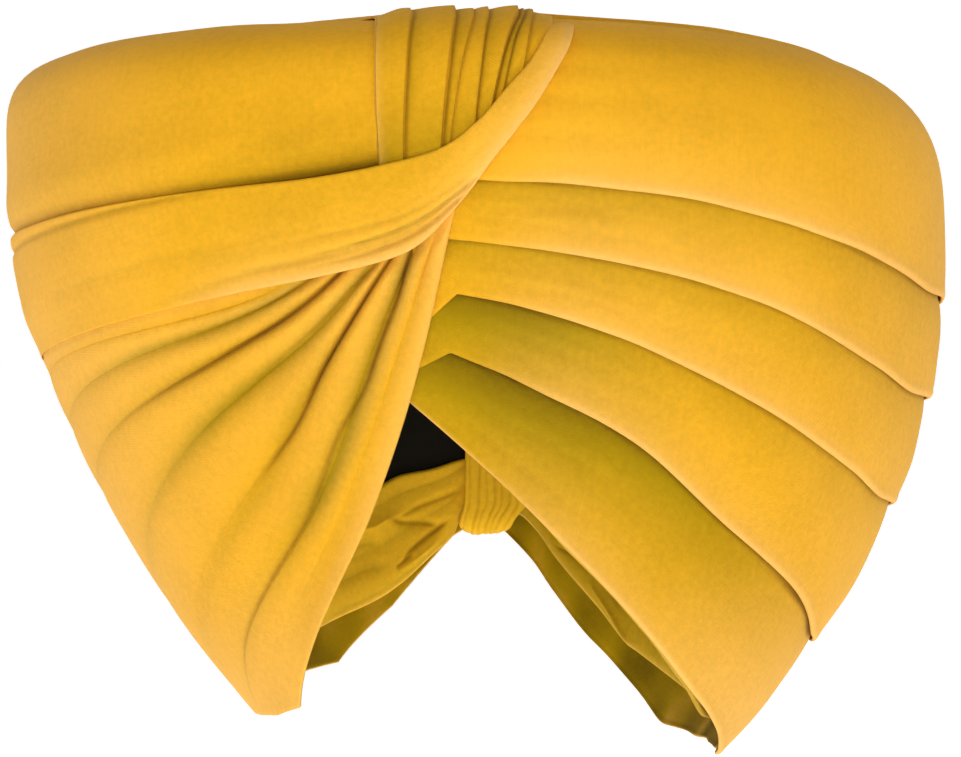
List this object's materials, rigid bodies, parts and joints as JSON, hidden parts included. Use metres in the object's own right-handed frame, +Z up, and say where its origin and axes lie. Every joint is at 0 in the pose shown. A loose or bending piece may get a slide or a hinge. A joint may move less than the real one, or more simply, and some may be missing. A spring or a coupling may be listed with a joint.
{
  "type": "pagri turban",
  "caption": "Ready-tied turban of folded cotton: stepped side wraps, a gathered fan, a crossing band and a pleated crown over a dark cap.",
  "frame": {"origin": "the point on the inside of the cap that rests on the top of the wearer's head", "axes": "+Z up, the front towards -Y, +X to the right of someone looking at the front"},
  "size_m": [0.2992, 0.2787, 0.2261],
  "materials": {
    "outer_cotton": "soft matt plain-woven cotton, mustard yellow",
    "inner_cotton": "soft matt plain-woven cotton, mustard yellow in its own shade",
    "cap_cloth": "matt black cap cloth"
  },
  "bodies": {
    "root": {"right_wrap_1": "outer_cotton", "right_wrap_2": "outer_cotton", "right_wrap_3": "outer_cotton", "right_wrap_4": "outer_cotton", "right_wrap_5": "outer_cotton", "left_upper_wrap": "outer_cotton", "left_fan": "outer_cotton", "cross_band": "outer_cotton", "crown_wrap": "outer_cotton", "inner_wrap_left": "inner_cotton", "inner_wrap_right": "inner_cotton", "inner_cap": "cap_cloth", "back_knot": "inner_cotton"}
  },
  "joints": []
}
